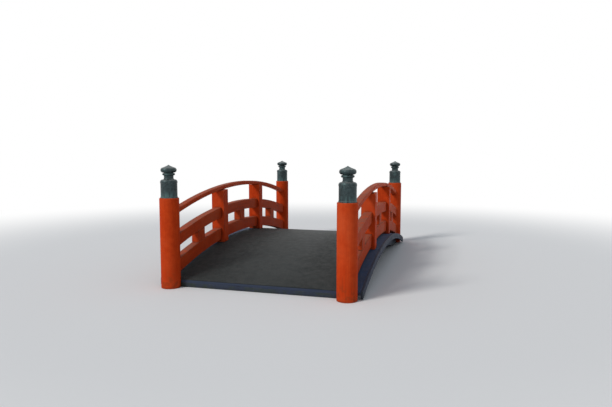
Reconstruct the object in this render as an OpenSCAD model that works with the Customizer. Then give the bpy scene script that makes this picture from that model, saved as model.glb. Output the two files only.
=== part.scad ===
// Moon bridge: an arched timber footbridge with three arched rails a side,
// round end posts under onion finials and a dark arched deck on three girders.
// Y runs along the walkway and X across it. The origin lies at the middle of
// the footing plane, on which the posts, girders and end beams stand.

/* [Arch] */
// Length of the deck, measured level from end to end
deck_length = 4300; // [3900:10:4700]
// Height of the deck's crest above the deck's ends
deck_rise = 300; // [250:5:350]
// Depth of the footings below the top of the deck's ends
foot_depth = 100; // [90:5:200]

/* [Deck] */
// Width of the deck over its edge boards
deck_width = 2640; // [2560:10:2800]
// Thickness of the deck boards
board_thickness = 45; // [35:1:50]
// Thickness of the edge boards that cover the ends of the deck boards
edge_thickness = 30; // [20:1:40]
// Depth of the edge boards
edge_depth = 85; // [75:1:110]

/* [Girders] */
// Thickness of each girder
girder_width = 100; // [80:2:140]
// Depth of each girder
girder_depth = 170; // [150:2:185]
// Distance of an outer girder's middle from the ends of the deck boards
girder_inset = 150; // [100:5:200]
// Thickness of the end beams that tie the girders at both ends
end_beam_width = 110; // [80:2:130]

/* [End posts] */
// Distance of a railing's middle from the outer edge of the deck
railing_inset = 180; // [150:5:210]
// Distance of an end post's middle beyond the end of the deck
post_overhang = 50; // [30:1:70]
// Diameter of the end posts
post_diameter = 245; // [220:1:260]
// Height of the painted end posts above the top of the deck's ends
post_height = 1040; // [980:5:1100]
// Width of the worn chamfer round the shoulder of an end post
post_chamfer = 6; // [2:1:10]

/* [Middle posts] */
// Size of a middle post across the bridge
middle_post_width = 200; // [170:2:220]
// Size of a middle post along the bridge
middle_post_length = 150; // [120:2:170]

/* [Rails] */
// Height of the handrail's top above the deck
handrail_height = 842; // [800:2:860]
// Thickness of the handrail
handrail_thickness = 62; // [50:1:70]
// Width of the handrail
handrail_width = 100; // [90:2:130]
// Radius of the handrail's rounded edges
handrail_edge_radius = 16; // [10:1:24]
// Thickness of the middle rails, the lower rails and their struts
rail_thickness = 110; // [90:2:130]
// Height of the middle rail's top above the deck
middle_rail_height = 526; // [500:2:560]
// Depth of the middle rail
middle_rail_depth = 150; // [130:2:170]
// Height of the lower rail's top above the deck
lower_rail_height = 216; // [200:2:230]
// Depth of the lower rail
lower_rail_depth = 168; // [140:2:180]
// Length of a strut along the bridge
strut_length = 180; // [140:2:200]

/* [Finials] */
// Diameter of the metal sleeve over the head of an end post
sleeve_diameter = 212; // [200:1:220]
// Height of the sleeve up to the top of its shoulder
sleeve_height = 230; // [190:1:245]
// Thickness of the sleeve's wall
sleeve_wall = 8; // [5:1:12]
// Height of the raised bands at the foot and at the head of the sleeve
sleeve_band_height = 16; // [10:1:20]
// Distance that the raised bands stand proud of the sleeve
sleeve_band_depth = 3; // [1:0.5:5]
// Radius of the sleeve's rounded shoulder
shoulder_radius = 30; // [20:1:34]
// Diameter of the neck between the sleeve and the bulb
neck_diameter = 118; // [100:1:124]
// Height of the neck from the sleeve to the collar
neck_height = 50; // [40:1:60]
// Height of the bead round the foot of the neck
bead_height = 12; // [8:1:16]
// Diameter of the collar ring under the bulb
collar_diameter = 156; // [146:1:170]
// Height of the collar ring
collar_height = 30; // [26:1:40]
// Height of the groove between the collar ring and the bulb
groove_height = 5; // [4:1:10]
// Diameter of the bulb
bulb_diameter = 198; // [190:1:214]
// Height of the round side of the bulb
bulb_height = 64; // [56:1:80]
// Angle above the bulb's widest line at which its side turns into the crown
crown_angle = 70; // [60:1:80]
// Height that the point draws up above the straight slope of the crown
point_height = 8; // [4:1:16]

/* [Fits] */
// Gap where a curved piece is seated on another
seat_gap = 0.3; // [0.2:0.1:0.5]
// Gap between the sleeve and the head of the post inside it
sleeve_gap = 0.5; // [0.3:0.1:0.8]

/* [Hidden] */

vermilion = "#c8442a";
bronze = "#4d5a66";
slate = "#43484f";
arch_facets = 256;
round_facets = 120;
past = 20;
cope_overlap = 2;
crest_lap = 1;

half_deck = deck_length / 2;
deck_radius = (half_deck * half_deck + deck_rise * deck_rise) / (2 * deck_rise);
arch_centre = foot_depth + deck_rise - deck_radius;
girder_top_radius = deck_radius - board_thickness - seat_gap;
girder_bottom_radius = girder_top_radius - girder_depth;
boards_width = deck_width - 2 * edge_thickness;
girder_x = boards_width / 2 - girder_inset;

post_radius = post_diameter / 2;
post_x = deck_width / 2 - railing_inset;
post_y = half_deck + post_overhang;
post_top = foot_depth + post_height;
head_radius = sleeve_diameter / 2 - sleeve_band_depth - sleeve_wall - sleeve_gap;
head_height = sleeve_height - shoulder_radius;
beam_inner_y = half_deck - end_beam_width;
middle_post_y = post_y / 3;
bay_inner_y = middle_post_y - middle_post_length / 2;
bay_outer_y = middle_post_y + middle_post_length / 2;

handrail_top_radius = deck_radius + handrail_height;
handrail_bottom_radius = handrail_top_radius - handrail_thickness;
middle_rail_top_radius = deck_radius + middle_rail_height;
middle_rail_bottom_radius = middle_rail_top_radius - middle_rail_depth;
lower_rail_top_radius = deck_radius + lower_rail_height;
lower_rail_bottom_radius = lower_rail_top_radius - lower_rail_depth;

// Side of the bridge: -1 for the left railing and 1 for the right one
function side_sign(side) = side == "left" ? -1 : 1;

// End of the bridge: -1 for the near one and 1 for the far one
function end_sign(end) = end == "near" ? -1 : 1;

// How far a piece of that width reaches from the crest to be coped round an end post
function coped_reach(width) = post_y - sqrt(post_radius ^ 2 - (width / 2) ^ 2) + cope_overlap;

// Points of an arc round (x, z), from one angle to another
function arc(x, z, radius, from, to, steps) =
    [for (i = [0:steps]) let (a = from + (to - from) * i / steps)
        [x + radius * cos(a), z + radius * sin(a)]];

// Turns a shape built round the Z axis so that it curves along the bridge:
// its axis lies across the bridge and its angles are counted from the crest
module on_arch_axis() {
    translate([0, 0, arch_centre])
        rotate([0, 90, 0])
            rotate([0, 0, 180])
                children();
}

// A section swept along the arch on the far side of the crest. Its ends are
// square to the curve, just past from_y and to_y at every radius between.
module arch_sweep(inner, outer, from_y, to_y) {
    from_angle = asin(from_y / outer);
    to_angle = asin(to_y / inner);
    on_arch_axis()
        rotate([0, 0, -to_angle])
            rotate_extrude(angle = to_angle - from_angle, $fn = arch_facets)
                children();
}

// A rectangular band on the far side of the crest, cut upright at both ends
module arch_piece(inner, outer, width, from_y, to_y) {
    intersection() {
        arch_sweep(inner, outer, from_y, to_y)
            translate([inner, -width / 2])
                square([outer - inner, width]);
        translate([-width, from_y, -deck_length])
            cube([2 * width, to_y - from_y, 2 * deck_length]);
    }
}

// Two halves that lap at the crest, one the mirror image of the other
module both_halves() {
    for (mirrored = [0, 1])
        mirror([0, mirrored, 0])
            children();
}

// Puts what is drawn at the far end at the end that is named
module at_end(end) {
    mirror([0, end == "near" ? 1 : 0, 0])
        children();
}

// The space that the four end posts take, with their seating gap
module end_post_space() {
    for (x = [-post_x, post_x], y = [-post_y, post_y])
        translate([x, y, -past])
            cylinder(r = post_radius + seat_gap, h = post_top + past, $fn = round_facets);
}

// All that lies below the footing plane
module below_footings() {
    translate([-deck_width, -deck_length, -2 * deck_length])
        cube([2 * deck_width, 2 * deck_length, 2 * deck_length]);
}

module deck() {
    color(slate)
        difference() {
            both_halves()
                arch_piece(deck_radius - board_thickness, deck_radius, boards_width, -crest_lap, half_deck);
            end_post_space();
        }
}

module edge_board(side) {
    middle_x = (boards_width + edge_thickness) / 2;
    color(slate)
        difference() {
            translate([side_sign(side) * middle_x, 0, 0])
                both_halves()
                    arch_piece(deck_radius - edge_depth, deck_radius, edge_thickness, -crest_lap, half_deck);
            below_footings();
            end_post_space();
        }
}

// The outer girders run on to the end posts and are coped round them; the one
// in the middle of the deck stops at the end beams
module girder(x, reach) {
    color(slate)
        difference() {
            translate([x, 0, 0])
                both_halves()
                    arch_piece(girder_bottom_radius, girder_top_radius, girder_width, -crest_lap, reach);
            below_footings();
            end_post_space();
        }
}

module end_beam(end) {
    beam_length = 2 * girder_x - girder_width - 2 * seat_gap;
    color(slate)
        at_end(end)
            difference() {
                arch_piece(girder_bottom_radius - foot_depth, girder_top_radius, beam_length,
                    beam_inner_y, half_deck);
                below_footings();
                end_post_space();
            }
}

module end_post(end, side) {
    color(vermilion)
        translate([side_sign(side) * post_x, end_sign(end) * post_y, 0]) {
            cylinder(r = post_radius, h = post_top - post_chamfer, $fn = round_facets);
            translate([0, 0, post_top - post_chamfer])
                cylinder(r1 = post_radius, r2 = post_radius - post_chamfer, h = post_chamfer,
                    $fn = round_facets);
            translate([0, 0, post_top - past])
                cylinder(r = head_radius, h = past + head_height - sleeve_gap, $fn = round_facets);
        }
}

// The outline of the metal cap from its foot to its point: sleeve with two
// raised bands, rounded shoulder, neck on a bead, collar ring, groove, onion
// bulb and the crown that runs on from it and draws up to a point
function finial_outline() =
    let (
        band = sleeve_diameter / 2,
        wall = band - sleeve_band_depth,
        shoulder_z = sleeve_height - shoulder_radius,
        upper_band_z = shoulder_z - sleeve_band_height,
        neck = neck_diameter / 2,
        bead = bead_height / 2,
        collar = collar_height / 2,
        collar_foot_z = sleeve_height + neck_height,
        groove_z = collar_foot_z + collar_height,
        bulb_foot_z = groove_z + groove_height,
        bulb = bulb_height / 2,
        bulb_x = bulb_diameter / 2 - bulb,
        crown_x = bulb_x + bulb * cos(crown_angle),
        crown_z = bulb_foot_z + bulb + bulb * sin(crown_angle),
        crown_rise = crown_x / tan(crown_angle),
        crown_steps = 8
    )
    [
        [0, 0], [band, 0], [band, sleeve_band_height], [wall, sleeve_band_height],
        [wall, upper_band_z], [band, upper_band_z],
        each arc(band - shoulder_radius, shoulder_z, shoulder_radius, 0, 90, 8),
        each arc(neck, sleeve_height + bead, bead, -90, 90, 6),
        [neck, collar_foot_z],
        each arc(collar_diameter / 2 - collar, collar_foot_z + collar, collar, -90, 90, 8),
        [neck, groove_z], [neck, bulb_foot_z],
        each arc(bulb_x, bulb_foot_z + bulb, bulb, -90, crown_angle, 14),
        for (i = [1:crown_steps]) let (t = i / crown_steps)
            [crown_x * (1 - t), crown_z + crown_rise * t + point_height * t ^ 3]
    ];

module finial(end, side) {
    color(bronze)
        translate([side_sign(side) * post_x, end_sign(end) * post_y, post_top])
            difference() {
                rotate_extrude($fn = round_facets)
                    polygon(finial_outline());
                translate([0, 0, -past])
                    cylinder(r = head_radius + sleeve_gap, h = past + head_height, $fn = round_facets);
            }
}

// The section of the handrail with its four rounded edges, standing across its
// own radius
module handrail_section() {
    middle = (handrail_top_radius + handrail_bottom_radius) / 2;
    corner_x = handrail_thickness / 2 - handrail_edge_radius;
    corner_y = handrail_width / 2 - handrail_edge_radius;
    corner_steps = 6;
    translate([middle, 0])
        polygon([
            each arc(corner_x, corner_y, handrail_edge_radius, 0, 90, corner_steps),
            each arc(-corner_x, corner_y, handrail_edge_radius, 90, 180, corner_steps),
            each arc(-corner_x, -corner_y, handrail_edge_radius, 180, 270, corner_steps),
            each arc(corner_x, -corner_y, handrail_edge_radius, 270, 360, corner_steps)
        ]);
}

// The handrail runs over the crest from one end post to the other. Its sweep
// is a whole number of facets each way, so that two of them meet at the crest.
module handrail(side) {
    reach = coped_reach(handrail_width);
    facet_angle = 360 / arch_facets;
    sweep_angle = facet_angle * ceil(asin(reach / handrail_bottom_radius) / facet_angle);
    color(vermilion)
        difference() {
            translate([side_sign(side) * post_x, 0, 0])
                intersection() {
                    on_arch_axis()
                        rotate([0, 0, -sweep_angle])
                            rotate_extrude(angle = 2 * sweep_angle, $fn = arch_facets)
                                handrail_section();
                    translate([-handrail_width, -reach, 0])
                        cube([2 * handrail_width, 2 * reach, deck_length]);
                }
            end_post_space();
        }
}

module middle_post(end, side) {
    color(vermilion)
        at_end(end)
            translate([side_sign(side) * post_x, 0, 0])
                arch_piece(deck_radius + seat_gap, handrail_bottom_radius - seat_gap,
                    middle_post_width, bay_inner_y, bay_outer_y);
}

// A rail that fills one bay between the posts
module bay_rail(bay, side, inner, outer) {
    color(vermilion)
        difference() {
            translate([side_sign(side) * post_x, 0, 0])
                if (bay == "middle")
                    both_halves()
                        arch_piece(inner, outer, rail_thickness, -crest_lap, bay_inner_y);
                else
                    at_end(bay)
                        arch_piece(inner, outer, rail_thickness, bay_outer_y,
                            coped_reach(rail_thickness));
            end_post_space();
        }
}

module middle_rail(bay, side) {
    bay_rail(bay, side, middle_rail_bottom_radius, middle_rail_top_radius);
}

module lower_rail(bay, side) {
    bay_rail(bay, side, lower_rail_bottom_radius, lower_rail_top_radius);
}

// A strut stands in the middle of each bay between the lower and middle rails
module strut(bay, side) {
    inner = lower_rail_top_radius + seat_gap;
    outer = middle_rail_bottom_radius - seat_gap;
    bay_middle_y = (bay_outer_y + post_y - post_radius) / 2;
    half = strut_length / 2;
    color(vermilion)
        translate([side_sign(side) * post_x, 0, 0])
            if (bay == "middle")
                both_halves()
                    arch_piece(inner, outer, rail_thickness, -crest_lap, half);
            else
                at_end(bay)
                    arch_piece(inner, outer, rail_thickness, bay_middle_y - half, bay_middle_y + half);
}

deck();
edge_board("left");  // edge_board_left
edge_board("right");  // edge_board_right
girder(-girder_x, coped_reach(girder_width));  // girder_left
girder(0, beam_inner_y - seat_gap);  // girder_middle
girder(girder_x, coped_reach(girder_width));  // girder_right
end_beam("near");  // end_beam_near
end_beam("far");  // end_beam_far
end_post("near", "left");  // post_near_left
end_post("near", "right");  // post_near_right
end_post("far", "left");  // post_far_left
end_post("far", "right");  // post_far_right
finial("near", "left");  // finial_near_left
finial("near", "right");  // finial_near_right
finial("far", "left");  // finial_far_left
finial("far", "right");  // finial_far_right
handrail("left");  // handrail_left
handrail("right");  // handrail_right
middle_post("near", "left");  // middle_post_near_left
middle_post("near", "right");  // middle_post_near_right
middle_post("far", "left");  // middle_post_far_left
middle_post("far", "right");  // middle_post_far_right
middle_rail("near", "left");  // middle_rail_near_left
middle_rail("near", "right");  // middle_rail_near_right
middle_rail("middle", "left");  // middle_rail_middle_left
middle_rail("middle", "right");  // middle_rail_middle_right
middle_rail("far", "left");  // middle_rail_far_left
middle_rail("far", "right");  // middle_rail_far_right
lower_rail("near", "left");  // lower_rail_near_left
lower_rail("near", "right");  // lower_rail_near_right
lower_rail("middle", "left");  // lower_rail_middle_left
lower_rail("middle", "right");  // lower_rail_middle_right
lower_rail("far", "left");  // lower_rail_far_left
lower_rail("far", "right");  // lower_rail_far_right
strut("near", "left");  // strut_near_left
strut("near", "right");  // strut_near_right
strut("middle", "left");  // strut_middle_left
strut("middle", "right");  // strut_middle_right
strut("far", "left");  // strut_far_left
strut("far", "right");  // strut_far_right
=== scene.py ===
import math
import bpy
from bpy.types import NodeSocket
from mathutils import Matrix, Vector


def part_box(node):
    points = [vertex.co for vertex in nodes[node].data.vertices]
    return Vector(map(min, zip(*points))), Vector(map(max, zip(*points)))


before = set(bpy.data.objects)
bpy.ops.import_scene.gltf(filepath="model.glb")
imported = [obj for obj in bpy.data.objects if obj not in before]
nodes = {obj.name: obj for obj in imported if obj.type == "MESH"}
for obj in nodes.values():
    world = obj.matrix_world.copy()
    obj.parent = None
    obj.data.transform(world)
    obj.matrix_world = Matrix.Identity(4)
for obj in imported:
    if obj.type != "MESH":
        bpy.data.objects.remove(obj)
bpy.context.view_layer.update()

print("frame loaded:", len(nodes), "nodes")

# The deck is one arc through its crest and its two ends, and the rails follow it
arch = {
    "rise": 0.300,              # crest above the deck's two ends, in metres
    "boardWidth": 0.143,        # deck boards under the coating, measured along the arc
}
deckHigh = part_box("deck")[1]
deckRadius = (deckHigh.y ** 2 + arch["rise"] ** 2) / (2 * arch["rise"])
archCentre = deckHigh.z - deckRadius
endLevel = deckHigh.z - arch["rise"]
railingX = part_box("strut_middle_right")[0].x      # inner face of the right railing
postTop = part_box("finial_near_left")[0].z


# Camera: at eye height before the near end, to the right of the walkway
photoView = {
    "right": 2.386,             # metres from the middle of the bridge
    "back": 8.169,
    "eyeHeight": 1.585,         # above the deck's two ends
    "turnLeft": 16.24,          # degrees from straight ahead
    "lookDown": 5.25,
    "lens": 31.6,
    "sensor": 36.0,
}


def makeCamera(view):
    data = bpy.data.cameras.new("photoCamera")
    data.lens = view["lens"]
    data.sensor_width = view["sensor"]
    camera = bpy.data.objects.new("photoCamera", data)
    camera.location = (view["right"], -view["back"], view["eyeHeight"] + endLevel)
    tilt = math.radians(90 - view["lookDown"])
    camera.rotation_euler = (tilt, 0, math.radians(view["turnLeft"]))
    bpy.context.scene.collection.objects.link(camera)
    bpy.context.scene.camera = camera


makeCamera(photoView)
print("camera placed")


# Small helpers for shader trees. An input given as a socket is linked, any other value is set.
def put(tree, kind, inputs=None, **settings):
    made = tree.nodes.new(kind)
    for name, value in settings.items():
        setattr(made, name, value)
    for name, value in (inputs or {}).items():
        if isinstance(value, NodeSocket):
            tree.links.new(value, made.inputs[name])
        else:
            made.inputs[name].default_value = value
    return made


def use(tree, group, inputs):
    return put(tree, "ShaderNodeGroup", inputs, node_tree=group).outputs


def maths(tree, operation, first, second=0.0, clamp=False):
    terms = {0: first, 1: second}
    return put(tree, "ShaderNodeMath", terms, operation=operation, use_clamp=clamp).outputs[0]


def plus(tree, first, second, clamp=False):
    return maths(tree, "ADD", first, second, clamp)


def minus(tree, first, second):
    return maths(tree, "SUBTRACT", first, second)


def times(tree, first, second):
    return maths(tree, "MULTIPLY", first, second)


def larger(tree, first, second):
    return maths(tree, "MAXIMUM", first, second)


# A span is a low and a high value, and then what these two become if not 0 and 1
def ramp(tree, value, low, high, toLow=0.0, toHigh=1.0):
    span = {"Value": value, "From Min": low, "From Max": high, "To Min": toLow, "To Max": toHigh}
    made = put(tree, "ShaderNodeMapRange", span, interpolation_type="SMOOTHSTEP")
    return made.outputs["Result"]


def noise(tree, place, scale, detail=3.0, roughness=0.55, distortion=0.0):
    fields = {"Vector": place, "Scale": scale, "Detail": detail, "Roughness": roughness,
              "Distortion": distortion}
    return put(tree, "ShaderNodeTexNoise", fields).outputs["Fac"]


def stretch(tree, place, scale, turn=(0, 0, 0)):
    fields = {"Vector": place, "Scale": scale, "Rotation": turn}
    return put(tree, "ShaderNodeMapping", fields).outputs["Vector"]


def axesOf(tree, place):
    return put(tree, "ShaderNodeSeparateXYZ", {0: place}).outputs


def placeOf(tree, x, y, z):
    return put(tree, "ShaderNodeCombineXYZ", {"X": x, "Y": y, "Z": z}).outputs[0]


def opaque(colour):
    return colour if isinstance(colour, NodeSocket) else (*colour, 1)


def blendColour(tree, share, first, second):
    sides = {0: share, 6: opaque(first), 7: opaque(second)}
    return put(tree, "ShaderNodeMix", sides, data_type="RGBA").outputs[2]


def lay(tree, colour, layer, mask, share):
    return blendColour(tree, times(tree, mask, share), colour, layer)


def startGroup(name, inputs, outputs):
    group = bpy.data.node_groups.new(name, "ShaderNodeTree")
    for label, kind, value in inputs:
        socket = group.interface.new_socket(label, in_out="INPUT", socket_type="NodeSocket" + kind)
        if value is not None:
            socket.default_value = value
    for label, kind in outputs:
        group.interface.new_socket(label, in_out="OUTPUT", socket_type="NodeSocket" + kind)
    given = group.nodes.new("NodeGroupInput").outputs
    result = group.nodes.new("NodeGroupOutput").inputs
    return group, given, result


# Place on the arch: X across the bridge, Y along the curve and Z out from the deck's top
def makeArchPlace():
    inputs = [("Point", "Vector", None), ("Centre Height", "Float", 0.0), ("Radius", "Float", 1.0)]
    group, given, result = startGroup("archPlace", inputs, [("Place", "Vector")])
    axes = axesOf(group, given["Point"])
    up = minus(group, axes["Z"], given["Centre Height"])
    along = times(group, maths(group, "ARCTAN2", axes["Y"], up), given["Radius"])
    squares = plus(group, maths(group, "POWER", axes["Y"], 2), maths(group, "POWER", up, 2))
    out = minus(group, maths(group, "SQRT", squares), given["Radius"])
    group.links.new(placeOf(group, axes["X"], along, out), result["Place"])
    return group


# Timber grain: fibres, broader figure and drying cracks that run along Y
grainShape = {
    "fibres": (260, 6, 260),          # noise cells per metre across, along and through
    "figure": (46, 1.4, 46),
    "rings": (26, 0.32, 26),          # a crack may run where these cross their middle
    "crackPlaces": (5, 1.3, 5),
    "crackWidth": 0.011,
    "crackStart": 0.78,               # the crack share lowers this, by its reach
    "crackReach": 0.30,
    "crackBorder": (-0.03, 0.05),
    "crackDepth": 1.6,
    "fibreHeight": 0.55,
    "figureHeight": 0.70,
    "fibreTone": 0.3,
    "figureTone": 0.7,
    "streakSpan": (0.40, 0.62),
}


def makeGrain(shape):
    inputs = [("Place", "Vector", None), ("Crack Share", "Float", 0.5)]
    outputs = [("Height", "Float"), ("Streak", "Float"), ("Crack", "Float")]
    group, given, result = startGroup("timberGrain", inputs, outputs)
    place = given["Place"]
    fibre = noise(group, stretch(group, place, shape["fibres"]), 1.0, detail=4.0, roughness=0.60)
    figure = noise(group, stretch(group, place, shape["figure"]), 1.0, detail=4.0,
                   roughness=0.58, distortion=0.25)
    rings = noise(group, stretch(group, place, shape["rings"]), 1.0, detail=2.0, roughness=0.45)
    fromMiddle = maths(group, "ABSOLUTE", minus(group, rings, 0.5))
    line = ramp(group, fromMiddle, 0.0, shape["crackWidth"], 1.0, 0.0)
    patches = noise(group, stretch(group, place, shape["crackPlaces"]), 1.0, detail=2.0)
    lowered = times(group, given["Crack Share"], shape["crackReach"])
    threshold = minus(group, shape["crackStart"], lowered)
    here = ramp(group, minus(group, patches, threshold), *shape["crackBorder"])
    crack = times(group, line, here)
    height = plus(group, times(group, fibre, shape["fibreHeight"]),
                  times(group, figure, shape["figureHeight"]))
    height = minus(group, height, times(group, crack, shape["crackDepth"]))
    tone = plus(group, times(group, figure, shape["figureTone"]),
                times(group, fibre, shape["fibreTone"]))
    group.links.new(height, result["Height"])
    group.links.new(ramp(group, tone, *shape["streakSpan"]), result["Streak"])
    group.links.new(crack, result["Crack"])
    return group


# Where use and weather rub: the arrises, in broken patches with chipped borders. The same arris
# masks also carry the paint's painted arris highlight and the bronze's painted rim highlight
wearShape = {
    "arrisSpan": (0.98, 0.74),        # openness inside the timber, from flat face to arris
    "patchWeight": 2.2,
    "chipScale": 85.0,
    "chipWeight": 1.1,
    "start": 1.45,                    # the amount lowers this, by its reach
    "reach": 0.80,
    "border": (-0.03, 0.03),
}


def makeEdgeWear(shape):
    inputs = [("Place", "Vector", None), ("Reach", "Float", 0.012),
              ("Patch Scale", "Float", 7.0), ("Amount", "Float", 0.5)]
    outputs = [("Mask", "Float"), ("Edge", "Float")]
    group, given, result = startGroup("edgeWear", inputs, outputs)
    depth = put(group, "ShaderNodeAmbientOcclusion", {"Distance": given["Reach"]}, samples=8,
                inside=True, only_local=True).outputs["AO"]
    edge = ramp(group, depth, *shape["arrisSpan"])
    patches = noise(group, given["Place"], given["Patch Scale"], detail=3.0, roughness=0.5)
    chips = noise(group, given["Place"], shape["chipScale"], detail=4.0, roughness=0.68)
    rubbedAndHighlight = plus(group, edge, times(group, minus(group, patches, 0.5), shape["patchWeight"]))
    rubbedAndHighlight = plus(group, rubbedAndHighlight, times(group, minus(group, chips, 0.5), shape["chipWeight"]))
    threshold = minus(group, shape["start"], times(group, given["Amount"], shape["reach"]))
    worn = ramp(group, minus(group, rubbedAndHighlight, threshold), *shape["border"])
    group.links.new(times(group, worn, edge), result["Mask"])
    group.links.new(edge, result["Edge"])
    return group


# Painted shade and dirt where two pieces meet, and dust on what faces up, which on the rails and
# bronze caps is also a painted sheen
shadeAndDirtShape = {
    "cloudScale": 11.0,
    "cornerSpan": (0.86, 0.30),       # openness, from the start of a corner to its depth
    "cornerCloud": (0.25, 0.62, 0.35, 1.0),
    "levelSpan": (0.55, 0.95),        # how far a face looks up, from bare to dusty
    "dustAndSheenCloud": (0.30, 0.62, 0.25, 1.0),
}


def makeShadeGrimeDustAndSheen(shape):
    inputs = [("Place", "Vector", None), ("Reach", "Float", 0.06)]
    outputs = [("Shade And Grime", "Float"), ("Dust And Sheen", "Float")]
    group, given, result = startGroup("shadeGrimeDustAndSheen", inputs, outputs)
    exposed = put(group, "ShaderNodeAmbientOcclusion", {"Distance": given["Reach"]},
                  samples=8).outputs["AO"]
    cloud = noise(group, given["Place"], shape["cloudScale"], detail=5.0, roughness=0.62)
    # Corners where pieces meet: the paints lay painted shade and dirt here, the deck lays dust,
    # the caps lay verdigris
    corner = ramp(group, exposed, *shape["cornerSpan"])
    grimeAndShade = times(group, corner, ramp(group, cloud, *shape["cornerCloud"]))
    # What faces up: dust, and on the rails and caps a painted sheen
    upward = axesOf(group, put(group, "ShaderNodeNewGeometry").outputs["Normal"])["Z"]
    level = ramp(group, upward, *shape["levelSpan"])
    group.links.new(grimeAndShade, result["Shade And Grime"])
    group.links.new(times(group, level, ramp(group, cloud, *shape["dustAndSheenCloud"])), result["Dust And Sheen"])
    return group


archPlace = makeArchPlace()
timberGrain = makeGrain(grainShape)
edgeWear = makeEdgeWear(wearShape)
shadeGrimeDustAndSheen = makeShadeGrimeDustAndSheen(shadeAndDirtShape)
print("shared effects built")

mottleRange = (0.3, 0.7)        # nearly all values of a mottle lie between these


def startMaterial(name, look):
    material = bpy.data.materials.new(name)
    material.use_nodes = True
    tree = material.node_tree
    shader = tree.nodes["Principled BSDF"]
    shader.inputs["Specular IOR Level"].default_value = look["gloss"]
    point = put(tree, "ShaderNodeTexCoord").outputs["Object"]
    return material, tree, shader, point


def alongArch(tree, point):
    arc = {"Point": point, "Centre Height": archCentre, "Radius": deckRadius}
    return use(tree, archPlace, arc)["Place"]


def addWear(tree, point, look):
    given = {"Place": point, "Reach": look["wearReach"], "Patch Scale": look["wearScale"],
             "Amount": look["wear"]}
    return use(tree, edgeWear, given)


def addShadeAndDirt(tree, point, look):
    return use(tree, shadeGrimeDustAndSheen, {"Place": point, "Reach": look["shadeAndGrimeReach"]})


def addBump(tree, shader, height, look):
    fields = {"Height": height, "Strength": look["bumpStrength"], "Distance": look["bumpDepth"]}
    bump = put(tree, "ShaderNodeBump", fields)
    tree.links.new(bump.outputs["Normal"], shader.inputs["Normal"])


# Vermilion paint on worked timber, sun-faded on top, with a painted highlight on its arrises,
# painted shade in its corners and dirt near the footings
paintLook = {
    "colour": (0.560, 0.056, 0.009),
    "deep": (0.430, 0.034, 0.005),
    "fadedAndHighlight": (0.610, 0.105, 0.034),
    "chipped": (0.200, 0.062, 0.034),     # old coats that show where the paint has gone
    "grimeAndShade": (0.100, 0.030, 0.012),
    "dust": (0.340, 0.150, 0.085),
    "gloss": 0.03,
    "roughness": (0.46, 0.60),
    "mottleScale": 17.0,
    "mottleSpan": (0.32, 0.68, 0.35, 1.0),
    "streakShare": 0.42,
    "fadedScale": 1.7,
    "fadedSpan": (0.42, 0.74, 0.0, 0.50),
    "brushMarks": (150, 3, 150),          # per metre across, along and through
    "brushSpan": (0.52, 0.72, 0.0, 0.22),
    "brushHeight": 0.45,
    "arrisHighlight": 0.30,
    "dustShare": 0.26,
    "dustRoughness": 0.16,
    "splashSpan": (0.34, 0.04),           # mud splashes, from their top down to the footing
    "splashCloud": (0.40, 0.66),
    "splashShare": 0.55,
    "cornerShadeShare": 0.85,
    "shadeAndGrimeReach": 0.07,
    "grimeRoughness": 0.30,
    "speckScale": 120.0,
    "speckSpan": (0.66, 0.74, 0.0, 0.45),
    "crackShare": 0.60,
    "crackTone": 0.80,
    "wear": 0.50,
    "wearReach": 0.012,
    "wearScale": 7.0,
    "wearTone": 0.90,
    "wearDepth": 0.9,
    "bumpStrength": 0.55,
    "bumpDepth": 0.0018,
}
railLook = {                              # rails and struts have weathered duller than posts
    **paintLook,
    "colour": (0.500, 0.058, 0.013),
    "deep": (0.370, 0.038, 0.008),
    "fadedAndHighlight": (0.530, 0.105, 0.038),
    "dust": (0.205, 0.110, 0.080),        # dust and a painted sky sheen, pinkish grey on what faces up
    "dustShare": 0.70,
    "wear": 0.58,
}


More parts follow.
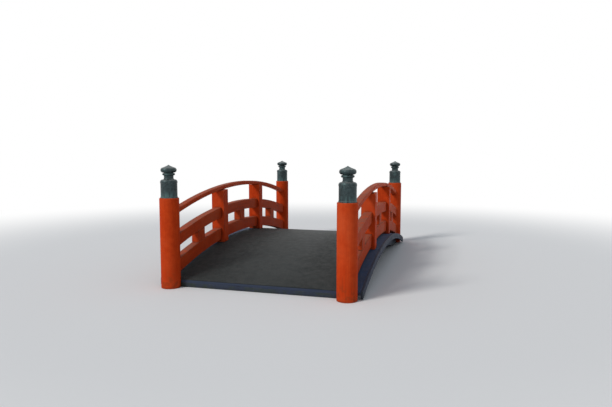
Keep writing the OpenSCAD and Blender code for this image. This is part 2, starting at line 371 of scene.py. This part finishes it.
def paintMaterial(name, look, upright):
    material, tree, shader, point = startMaterial(name, look)
    if upright:
        place = stretch(tree, point, (1, 1, 1), (math.radians(-90), 0, 0))
    else:
        place = alongArch(tree, point)
    grain = use(tree, timberGrain, {"Place": place, "Crack Share": look["crackShare"]})
    wear = addWear(tree, point, look)
    shadeAndDirt = addShadeAndDirt(tree, point, look)
    broad = noise(tree, point, look["fadedScale"], detail=3.0)
    mottle = noise(tree, point, look["mottleScale"], detail=5.0, roughness=0.62)
    brushed = noise(tree, stretch(tree, place, look["brushMarks"]), 1.0, detail=3.0)
    specks = noise(tree, point, look["speckScale"], detail=3.0, roughness=0.6)
    height = axesOf(tree, point)["Z"]

    depth = ramp(tree, mottle, *look["mottleSpan"])
    colour = blendColour(tree, depth, look["deep"], look["colour"])
    colour = lay(tree, colour, look["deep"], grain["Streak"], look["streakShare"])
    colour = blendColour(tree, ramp(tree, broad, *look["fadedSpan"]), colour, look["fadedAndHighlight"])
    colour = blendColour(tree, ramp(tree, brushed, *look["brushSpan"]), colour, look["fadedAndHighlight"])
    # A painted highlight along every arris, in the faded colour
    colour = lay(tree, colour, look["fadedAndHighlight"], wear["Edge"], look["arrisHighlight"])
    # Dust on what faces up; on the rails, with their pinkish grey, it is also a painted sky sheen
    colour = lay(tree, colour, look["dust"], shadeAndDirt["Dust And Sheen"], look["dustShare"])
    # Painted shade in the corners where pieces meet, with mud splashes near the footing and dark
    # specks
    splash = times(tree, ramp(tree, height, *look["splashSpan"]),
                   ramp(tree, mottle, *look["splashCloud"]))
    soiledAndShaded = larger(tree, times(tree, shadeAndDirt["Shade And Grime"], look["cornerShadeShare"]),
                    times(tree, splash, look["splashShare"]))
    soiledAndShaded = larger(tree, soiledAndShaded, ramp(tree, specks, *look["speckSpan"]))
    colour = blendColour(tree, soiledAndShaded, colour, look["grimeAndShade"])
    colour = lay(tree, colour, look["grimeAndShade"], grain["Crack"], look["crackTone"])
    colour = lay(tree, colour, look["chipped"], wear["Mask"], look["wearTone"])
    tree.links.new(colour, shader.inputs["Base Color"])

    rough = plus(tree, ramp(tree, mottle, *mottleRange, *look["roughness"]),
                 times(tree, soiledAndShaded, look["grimeRoughness"]))
    rough = plus(tree, rough, times(tree, shadeAndDirt["Dust And Sheen"], look["dustRoughness"]), clamp=True)
    tree.links.new(rough, shader.inputs["Roughness"])

    relief = plus(tree, grain["Height"], times(tree, brushed, look["brushHeight"]))
    relief = minus(tree, relief, times(tree, wear["Mask"], look["wearDepth"]))
    addBump(tree, shader, relief, look)
    return material


# Slate-coloured stain on the timbers under and beside the deck
stainLook = {
    "colour": (0.0280, 0.0390, 0.0700),
    "pale": (0.0460, 0.0600, 0.0960),
    "grimeAndShade": (0.0130, 0.0130, 0.0120),
    "bare": (0.092, 0.088, 0.086),
    "moss": (0.0280, 0.0380, 0.0170),
    "gloss": 0.22,
    "roughness": (0.55, 0.74),
    "mottleScale": 8.0,
    "mottleSpan": (0.35, 0.68, 0.0, 0.6),
    "streakShare": 0.35,
    "cornerShadeShare": 0.70,
    "shadeAndGrimeReach": 0.10,
    "dampSpan": (0.16, 0.02),             # moss, from its top down to the footing
    "mossCloud": (0.42, 0.62),
    "mossShare": 0.55,
    "crackShare": 0.70,
    "crackTone": 0.80,
    "wear": 0.28,
    "wearReach": 0.011,
    "wearScale": 7.0,
    "wearTone": 0.60,
    "bumpStrength": 0.55,
    "bumpDepth": 0.0020,
}


def stainMaterial(name, look):
    material, tree, shader, point = startMaterial(name, look)
    place = alongArch(tree, point)
    grain = use(tree, timberGrain, {"Place": place, "Crack Share": look["crackShare"]})
    wear = addWear(tree, point, look)
    shadeAndDirt = addShadeAndDirt(tree, point, look)
    mottle = noise(tree, point, look["mottleScale"], detail=5.0, roughness=0.62)
    height = axesOf(tree, point)["Z"]
    damp = times(tree, ramp(tree, height, *look["dampSpan"]),
                 ramp(tree, mottle, *look["mossCloud"]))

    bleached = ramp(tree, mottle, *look["mottleSpan"])
    colour = blendColour(tree, bleached, look["colour"], look["pale"])
    colour = lay(tree, colour, look["grimeAndShade"], grain["Streak"], look["streakShare"])
    # Painted shade in the corners where pieces meet
    colour = lay(tree, colour, look["grimeAndShade"], shadeAndDirt["Shade And Grime"], look["cornerShadeShare"])
    colour = lay(tree, colour, look["moss"], damp, look["mossShare"])
    colour = lay(tree, colour, look["bare"], wear["Mask"], look["wearTone"])
    colour = lay(tree, colour, look["grimeAndShade"], grain["Crack"], look["crackTone"])
    tree.links.new(colour, shader.inputs["Base Color"])
    rough = ramp(tree, mottle, *mottleRange, *look["roughness"])
    tree.links.new(rough, shader.inputs["Roughness"])
    addBump(tree, shader, grain["Height"], look)
    return material


# Dark slip-resistant coating: grit in a matt binder, over boards laid across the bridge
coatingLook = {
    "colour": (0.0132, 0.0170, 0.0174),
    "worn": (0.0240, 0.0290, 0.0300),
    "slate": (0.0310, 0.0640, 0.1420),    # the margins outside the railings, which stay unworn
    "dust": (0.105, 0.104, 0.100),
    "grain": (0.100, 0.102, 0.100),       # pale mineral grains in the grit
    "seam": (0.0090, 0.0095, 0.0105),
    "gloss": 0.16,
    "roughness": (0.60, 0.78),
    "coatDepth": 0.006,                   # below this the bare boards show
    "mottleScale": 13.0,
    "wornScale": 1.5,
    "wornStretch": (1, 1.6, 1),
    "wornSpan": (0.36, 0.68, 0.0, 0.60),
    "trackSpan": (0.62, 0.217),           # the trodden track, from its edge to where it is full
    "trackCloud": (0.36, 0.64, 0.4, 1.0),
    "trackShare": 0.50,
    "trackPolish": 0.10,
    "slateFade": 0.12,                    # width over which the margins' colour comes in
    "boardShare": 0.20,                   # difference in tone between boards
    "gritScale": 520.0,
    "gritHeight": 0.7,
    "grainScale": 260.0,
    "grainSize": (0.42, 0.30),            # from the border of a pale grain to its middle
    "grainPick": (0.72, 0.80),            # which of the grains are pale
    "grainShare": 0.55,
    "grainHeight": 0.5,
    "dustShare": 0.14,
    "edgeDustCloud": (0.35, 0.7),
    "edgeDustShare": 0.12,
    "shadeAndGrimeReach": 0.09,
    "jointSpan": (0.018, 0.006),          # shares of a board's width
    "jointCloud": (0.34, 0.62, 0.15, 1.0),
    "jointTone": (0.45, 0.95),            # in the coating and on the bare boards
    "jointDepth": 1.5,
    "wear": 0.40,
    "wearReach": 0.010,
    "wearScale": 9.0,
    "wearTone": 0.30,
    "bareStreak": 0.5,
    "bareBoardShare": 0.5,
    "bareCrackShare": 0.6,
    "bareCrackTone": 0.8,
    "bumpStrength": 0.60,
    "bumpDepth": 0.0014,
}


def coatingMaterial(name, look, timber):
    material, tree, shader, point = startMaterial(name, look)
    place = alongArch(tree, point)
    axes = axesOf(tree, place)
    side = maths(tree, "ABSOLUTE", axes["X"])
    across = placeOf(tree, axes["Y"], axes["X"], axes["Z"])
    fibres = use(tree, timberGrain, {"Place": across, "Crack Share": look["bareCrackShare"]})
    wear = addWear(tree, point, look)
    shadeAndDirt = addShadeAndDirt(tree, point, look)
    broad = noise(tree, stretch(tree, place, look["wornStretch"]), look["wornScale"],
                  detail=4.0, roughness=0.6)
    mottle = noise(tree, place, look["mottleScale"], detail=6.0, roughness=0.66)
    grit = noise(tree, place, look["gritScale"], detail=2.0, roughness=0.7)
    grains = {"Vector": place, "Scale": look["grainScale"]}
    cells = put(tree, "ShaderNodeTexVoronoi", grains).outputs
    pick = put(tree, "ShaderNodeSeparateColor", {0: cells["Color"]}).outputs[0]
    pale = times(tree, ramp(tree, cells["Distance"], *look["grainSize"]),
                 ramp(tree, pick, *look["grainPick"]))

    # One board is centred on the crest, so the joints lie half a board from it and on
    boards = times(tree, axes["Y"], 1 / arch["boardWidth"])
    fromJoint = maths(tree, "ABSOLUTE", minus(tree, maths(tree, "FRACT", boards), 0.5))
    joint = ramp(tree, fromJoint, *look["jointSpan"])
    boardNumber = maths(tree, "FLOOR", plus(tree, boards, 0.5))
    boardTone = put(tree, "ShaderNodeTexWhiteNoise", {"W": boardNumber},
                    noise_dimensions="1D").outputs["Value"]
    bare = ramp(tree, axes["Z"], -look["coatDepth"], -2 * look["coatDepth"])
    seam = larger(tree, times(tree, joint, ramp(tree, mottle, *look["jointCloud"])),
                  times(tree, joint, bare))

    colour = blendColour(tree, ramp(tree, broad, *look["wornSpan"]), look["colour"], look["worn"])
    track = times(tree, ramp(tree, side, *look["trackSpan"]),
                  ramp(tree, mottle, *look["trackCloud"]))
    colour = lay(tree, colour, look["worn"], track, look["trackShare"])
    margin = ramp(tree, side, railingX, railingX + look["slateFade"])
    colour = blendColour(tree, margin, colour, look["slate"])
    colour = lay(tree, colour, look["worn"], boardTone, look["boardShare"])
    colour = lay(tree, colour, look["grain"], pale, look["grainShare"])
    colour = lay(tree, colour, look["dust"], shadeAndDirt["Dust And Sheen"], look["dustShare"])
    edgeDust = times(tree, shadeAndDirt["Shade And Grime"], ramp(tree, mottle, *look["edgeDustCloud"]))
    colour = lay(tree, colour, look["dust"], edgeDust, look["edgeDustShare"])
    board = blendColour(tree, times(tree, fibres["Streak"], look["bareStreak"]),
                        timber["colour"], timber["pale"])
    board = lay(tree, board, timber["grimeAndShade"], boardTone, look["bareBoardShare"])
    board = lay(tree, board, timber["grimeAndShade"], fibres["Crack"], look["bareCrackTone"])
    colour = blendColour(tree, bare, colour, board)
    colour = lay(tree, colour, look["seam"], seam, ramp(tree, bare, 0.0, 1.0, *look["jointTone"]))
    colour = lay(tree, colour, look["dust"], wear["Mask"], look["wearTone"])
    tree.links.new(colour, shader.inputs["Base Color"])

    rough = minus(tree, ramp(tree, mottle, *mottleRange, *look["roughness"]),
                  times(tree, track, look["trackPolish"]))
    tree.links.new(rough, shader.inputs["Roughness"])

    gritty = plus(tree, times(tree, grit, look["gritHeight"]),
                  times(tree, pale, look["grainHeight"]))
    relief = plus(tree, times(tree, gritty, minus(tree, 1.0, bare)),
                  times(tree, fibres["Height"], bare))
    relief = minus(tree, relief, times(tree, seam, look["jointDepth"]))
    addBump(tree, shader, relief, look)
    return material


# Bronze caps gone dark, with verdigris at the foot and where rain stands, rubbed rims with a
# painted highlight, and chalky bloom with a painted highlight on what faces up
bronzeLook = {
    "dark": (0.023, 0.034, 0.036),
    "mid": (0.048, 0.072, 0.077),
    "rubbedAndHighlight": (0.240, 0.255, 0.250),
    "verdigris": (0.072, 0.160, 0.158),
    "bloomAndHighlight": (0.230, 0.250, 0.250),       # chalky grey bloom and a painted highlight on what faces up
    "gloss": 0.5,
    "roughness": (0.38, 0.52),
    "metallic": (0.72, 0.10),             # from clean metal to full crust
    "crustSpan": (0.0, 0.8),
    "crustRoughness": 0.26,
    "mottleScale": 30.0,
    "mottleSpan": (0.30, 0.70),
    "mottleHeight": 0.7,
    "pitScale": 210.0,
    "pitHeight": 0.5,
    "streaks": (42, 42, 3.2),             # per metre, drawn out by rain down the cap
    "streakSpan": (0.50, 0.72, 0.0, 0.45),
    "greenSpan": (0.36, 0.62),
    "greenShare": 0.80,
    "footReach": 0.11,                    # height over which the green at the foot fades
    "blotchScale": 9.0,
    "blotchSpan": (0.50, 0.66, 0.0, 0.55),
    "bloomAndHighlightShare": 0.70,
    "shadeAndGrimeReach": 0.035,
    "wear": 0.72,
    "wearReach": 0.005,
    "wearScale": 22.0,
    "wearTone": 0.70,
    "bumpStrength": 0.35,
    "bumpDepth": 0.0012,
}


def bronzeMaterial(name, look):
    material, tree, shader, point = startMaterial(name, look)
    wear = addWear(tree, point, look)
    shadeAndDirt = addShadeAndDirt(tree, point, look)
    streaks = noise(tree, stretch(tree, point, look["streaks"]), 1.0, detail=4.0, roughness=0.6)
    mottle = noise(tree, point, look["mottleScale"], detail=6.0, roughness=0.66)
    pits = noise(tree, point, look["pitScale"], detail=3.0, roughness=0.6)
    blotches = noise(tree, point, look["blotchScale"], detail=4.0, roughness=0.6)
    foot = ramp(tree, axesOf(tree, point)["Z"], postTop + look["footReach"], postTop)
    wet = larger(tree, foot, shadeAndDirt["Shade And Grime"])
    wet = larger(tree, wet, ramp(tree, blotches, *look["blotchSpan"]))
    green = times(tree, wet, ramp(tree, streaks, *look["greenSpan"]))

    colour = blendColour(tree, ramp(tree, mottle, *look["mottleSpan"]), look["dark"], look["mid"])
    colour = blendColour(tree, ramp(tree, streaks, *look["streakSpan"]), colour, look["dark"])
    # Chalky bloom and a painted highlight on what faces up
    colour = lay(tree, colour, look["bloomAndHighlight"], shadeAndDirt["Dust And Sheen"], look["bloomAndHighlightShare"])
    colour = lay(tree, colour, look["verdigris"], green, look["greenShare"])
    # Rubbed metal and a painted highlight on the rims
    colour = lay(tree, colour, look["rubbedAndHighlight"], wear["Mask"], look["wearTone"])
    tree.links.new(colour, shader.inputs["Base Color"])

    crust = larger(tree, green, shadeAndDirt["Dust And Sheen"])
    metallic = ramp(tree, crust, *look["crustSpan"], *look["metallic"])
    tree.links.new(metallic, shader.inputs["Metallic"])
    rough = plus(tree, ramp(tree, mottle, *mottleRange, *look["roughness"]),
                 times(tree, crust, look["crustRoughness"]))
    tree.links.new(rough, shader.inputs["Roughness"])

    relief = plus(tree, times(tree, mottle, look["mottleHeight"]),
                  times(tree, pits, look["pitHeight"]))
    addBump(tree, shader, relief, look)
    return material


uprightPaint = paintMaterial("vermilionUpright", paintLook, True)
archedPaint = paintMaterial("vermilionArched", railLook, False)
deckCoating = coatingMaterial("gritCoating", coatingLook, stainLook)
slateStain = stainMaterial("slateStain", stainLook)
agedBronze = bronzeMaterial("agedBronze", bronzeLook)
print("materials built")


# The edges of every piece are eased, inside the piece's own box
finishes = {
    "post": {"material": uprightPaint, "edge": 0.0030, "segments": 3},
    "middle_post": {"material": uprightPaint, "edge": 0.0050, "segments": 3},
    "handrail": {"material": archedPaint, "edge": 0.0020, "segments": 2},
    "middle_rail": {"material": archedPaint, "edge": 0.0050, "segments": 3},
    "lower_rail": {"material": archedPaint, "edge": 0.0050, "segments": 3},
    "strut": {"material": archedPaint, "edge": 0.0040, "segments": 3},
    "deck": {"material": deckCoating, "edge": 0.0040, "segments": 3},
    "edge_board": {"material": slateStain, "edge": 0.0040, "segments": 3},
    "girder": {"material": slateStain, "edge": 0.0040, "segments": 2},
    "end_beam": {"material": slateStain, "edge": 0.0040, "segments": 2},
    "finial": {"material": agedBronze, "edge": 0.0012, "segments": 2},
}
shading = {
    "merge": 0.00005,           # triangles that share a corner are joined within this
    "flat": 0.2,                # degrees, below which neighbouring triangles are one face
    "edge": 30.0,               # degrees, from which an edge is taken off
}


def finishOf(name):
    return next(finish for kind, finish in finishes.items() if name.startswith(kind))


def softenEdges(piece, width, segments):
    piece.data.shade_smooth()
    join = piece.modifiers.new("joinTriangles", "WELD")
    join.merge_threshold = shading["merge"]
    flats = piece.modifiers.new("joinFlats", "DECIMATE")
    flats.decimate_type = "DISSOLVE"
    flats.angle_limit = math.radians(shading["flat"])
    soft = piece.modifiers.new("softEdges", "BEVEL")
    soft.width = width
    soft.segments = segments
    soft.limit_method = "ANGLE"
    soft.angle_limit = math.radians(shading["edge"])
    even = piece.modifiers.new("evenShading", "WEIGHTED_NORMAL")
    even.keep_sharp = False


for name, piece in nodes.items():
    finish = finishOf(name)
    piece.data.materials.clear()
    piece.data.materials.append(finish["material"])
    softenEdges(piece, finish["edge"], finish["segments"])
print("pieces finished:", len(nodes))


# Pale studio floor that fades into a white surround, and one soft key light
studio = {
    "floorHalf": 40.0,
    "floorColour": (0.78, 0.79, 0.80),
    "roughness": 0.9,
    "gloss": 0.1,
    "fadeSpan": (4.5, 11.0),    # metres from the middle of the bridge
    "surround": (1.0, 1.0, 1.0),
    "fillColour": (0.86, 0.92, 1.0),
    "fill": 0.42,
    "key": 1.9,
    "keyColour": (1.0, 0.965, 0.92),
    "keySpread": 16.0,          # degrees
    "keyTurn": (50.0, 0.0, -38.0),
}


def makeFloor(look):
    bpy.ops.mesh.primitive_plane_add(size=2 * look["floorHalf"])
    floor = bpy.context.object
    floor.name = "studioFloor"
    material, tree, shader, point = startMaterial("studioFloorPaint", look)
    shader.inputs["Roughness"].default_value = look["roughness"]
    shader.inputs["Base Color"].default_value = (*look["floorColour"], 1)
    reach = put(tree, "ShaderNodeVectorMath", {0: point}, operation="LENGTH").outputs["Value"]
    seen = put(tree, "ShaderNodeLightPath").outputs
    direct = larger(tree, seen["Is Camera Ray"], seen["Is Glossy Ray"])
    share = times(tree, ramp(tree, reach, *look["fadeSpan"]), direct)
    glow = {"Color": (*look["surround"], 1), "Strength": 1.0}
    white = put(tree, "ShaderNodeEmission", glow).outputs[0]
    mixed = put(tree, "ShaderNodeMixShader", {0: share, 1: shader.outputs[0], 2: white}).outputs[0]
    tree.links.new(mixed, tree.nodes["Material Output"].inputs["Surface"])
    floor.data.materials.append(material)


def makeSurround(look):
    world = bpy.data.worlds.new("studioSurround")
    world.use_nodes = True
    tree = world.node_tree
    fill = tree.nodes["Background"]
    fill.inputs["Color"].default_value = (*look["fillColour"], 1)
    fill.inputs["Strength"].default_value = look["fill"]
    glow = {"Color": (*look["surround"], 1), "Strength": 1.0}
    white = put(tree, "ShaderNodeBackground", glow).outputs[0]
    seen = put(tree, "ShaderNodeLightPath").outputs
    direct = larger(tree, seen["Is Camera Ray"], seen["Is Transmission Ray"])
    direct = larger(tree, direct, seen["Is Glossy Ray"])
    mixed = put(tree, "ShaderNodeMixShader", {0: direct, 1: fill.outputs[0], 2: white}).outputs[0]
    tree.links.new(mixed, tree.nodes["World Output"].inputs["Surface"])
    bpy.context.scene.world = world


def makeKeyLight(look):
    key = bpy.data.lights.new("softKey", "SUN")
    key.energy = look["key"]
    key.color = look["keyColour"]
    key.angle = math.radians(look["keySpread"])
    lamp = bpy.data.objects.new("softKey", key)
    lamp.rotation_euler = [math.radians(turn) for turn in look["keyTurn"]]
    bpy.context.scene.collection.objects.link(lamp)


makeFloor(studio)
makeSurround(studio)
makeKeyLight(studio)
bpy.context.scene.view_settings.view_transform = "Standard"
print("studio lit")
